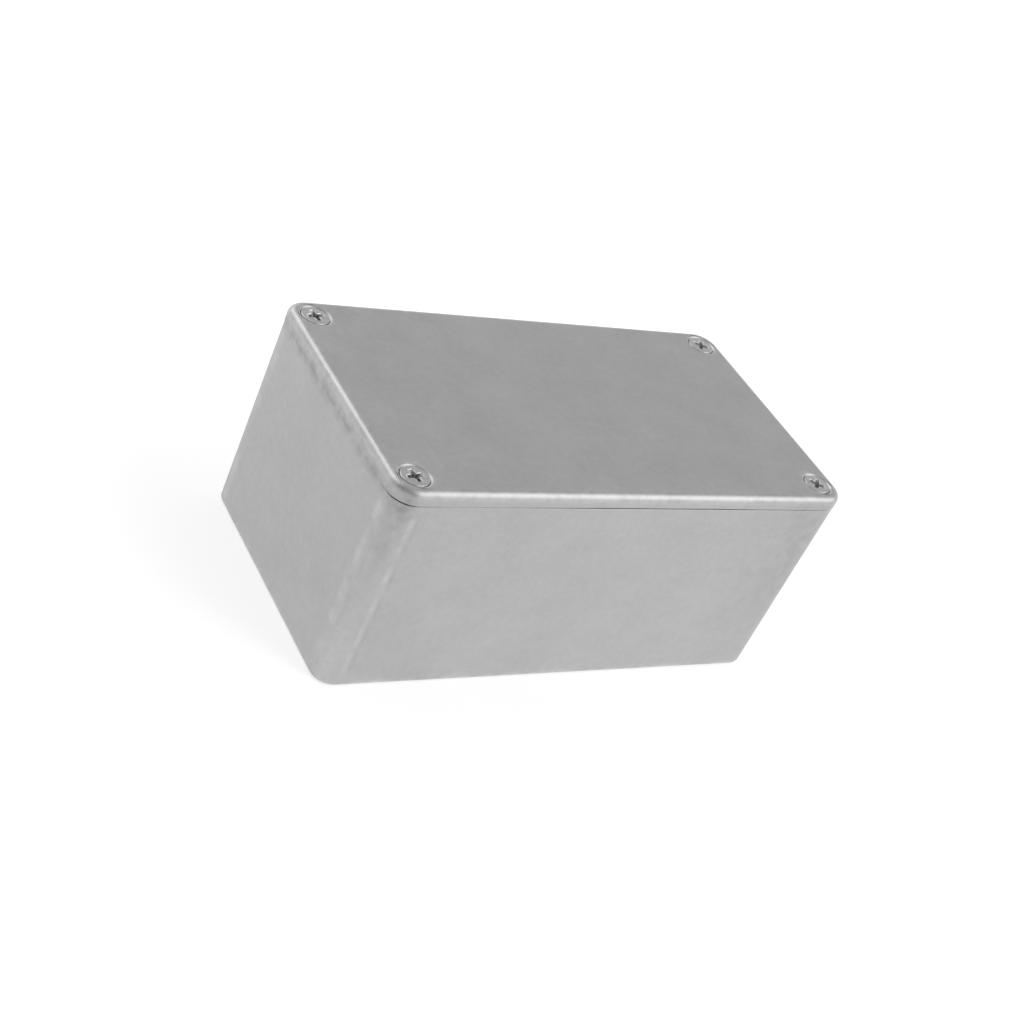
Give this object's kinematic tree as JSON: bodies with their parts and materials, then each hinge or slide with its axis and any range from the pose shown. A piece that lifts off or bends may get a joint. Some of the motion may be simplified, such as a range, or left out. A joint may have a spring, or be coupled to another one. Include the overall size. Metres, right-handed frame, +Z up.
{
  "type": "electronics enclosure",
  "caption": "Rectangular die-cast aluminium box with rounded corners and a lift-off lid held by countersunk corner screws, for housing a circuit.",
  "frame": {"origin": "centre of the base, on the surface that the box stands on", "axes": "+Z up through the lid, +X along the length, and the front faces -Y"},
  "size_m": [0.112, 0.061, 0.0495],
  "materials": {
    "casting": "bare as-cast, satin",
    "screw": "plated, satin"
  },
  "bodies": {
    "box": {"enclosure_body": "casting"},
    "cover": {"lid": "casting"},
    "front_left_screw": {"screw_front_left": "screw"},
    "front_right_screw": {"screw_front_right": "screw"},
    "rear_left_screw": {"screw_rear_left": "screw"},
    "rear_right_screw": {"screw_rear_right": "screw"}
  },
  "joints": [
    {"name": "lid_lift", "type": "slide", "parent": "box", "child": "cover", "axis": [0, 0, 1], "range_m": [0, 0.06]},
    {"name": "front_left_screw_out", "type": "slide", "parent": "cover", "child": "front_left_screw", "axis": [0, 0, 1], "range_m": [0, 0.018]},
    {"name": "front_right_screw_out", "type": "slide", "parent": "cover", "child": "front_right_screw", "axis": [0, 0, 1], "range_m": [0, 0.018]},
    {"name": "rear_left_screw_out", "type": "slide", "parent": "cover", "child": "rear_left_screw", "axis": [0, 0, 1], "range_m": [0, 0.018]},
    {"name": "rear_right_screw_out", "type": "slide", "parent": "cover", "child": "rear_right_screw", "axis": [0, 0, 1], "range_m": [0, 0.018]}
  ]
}
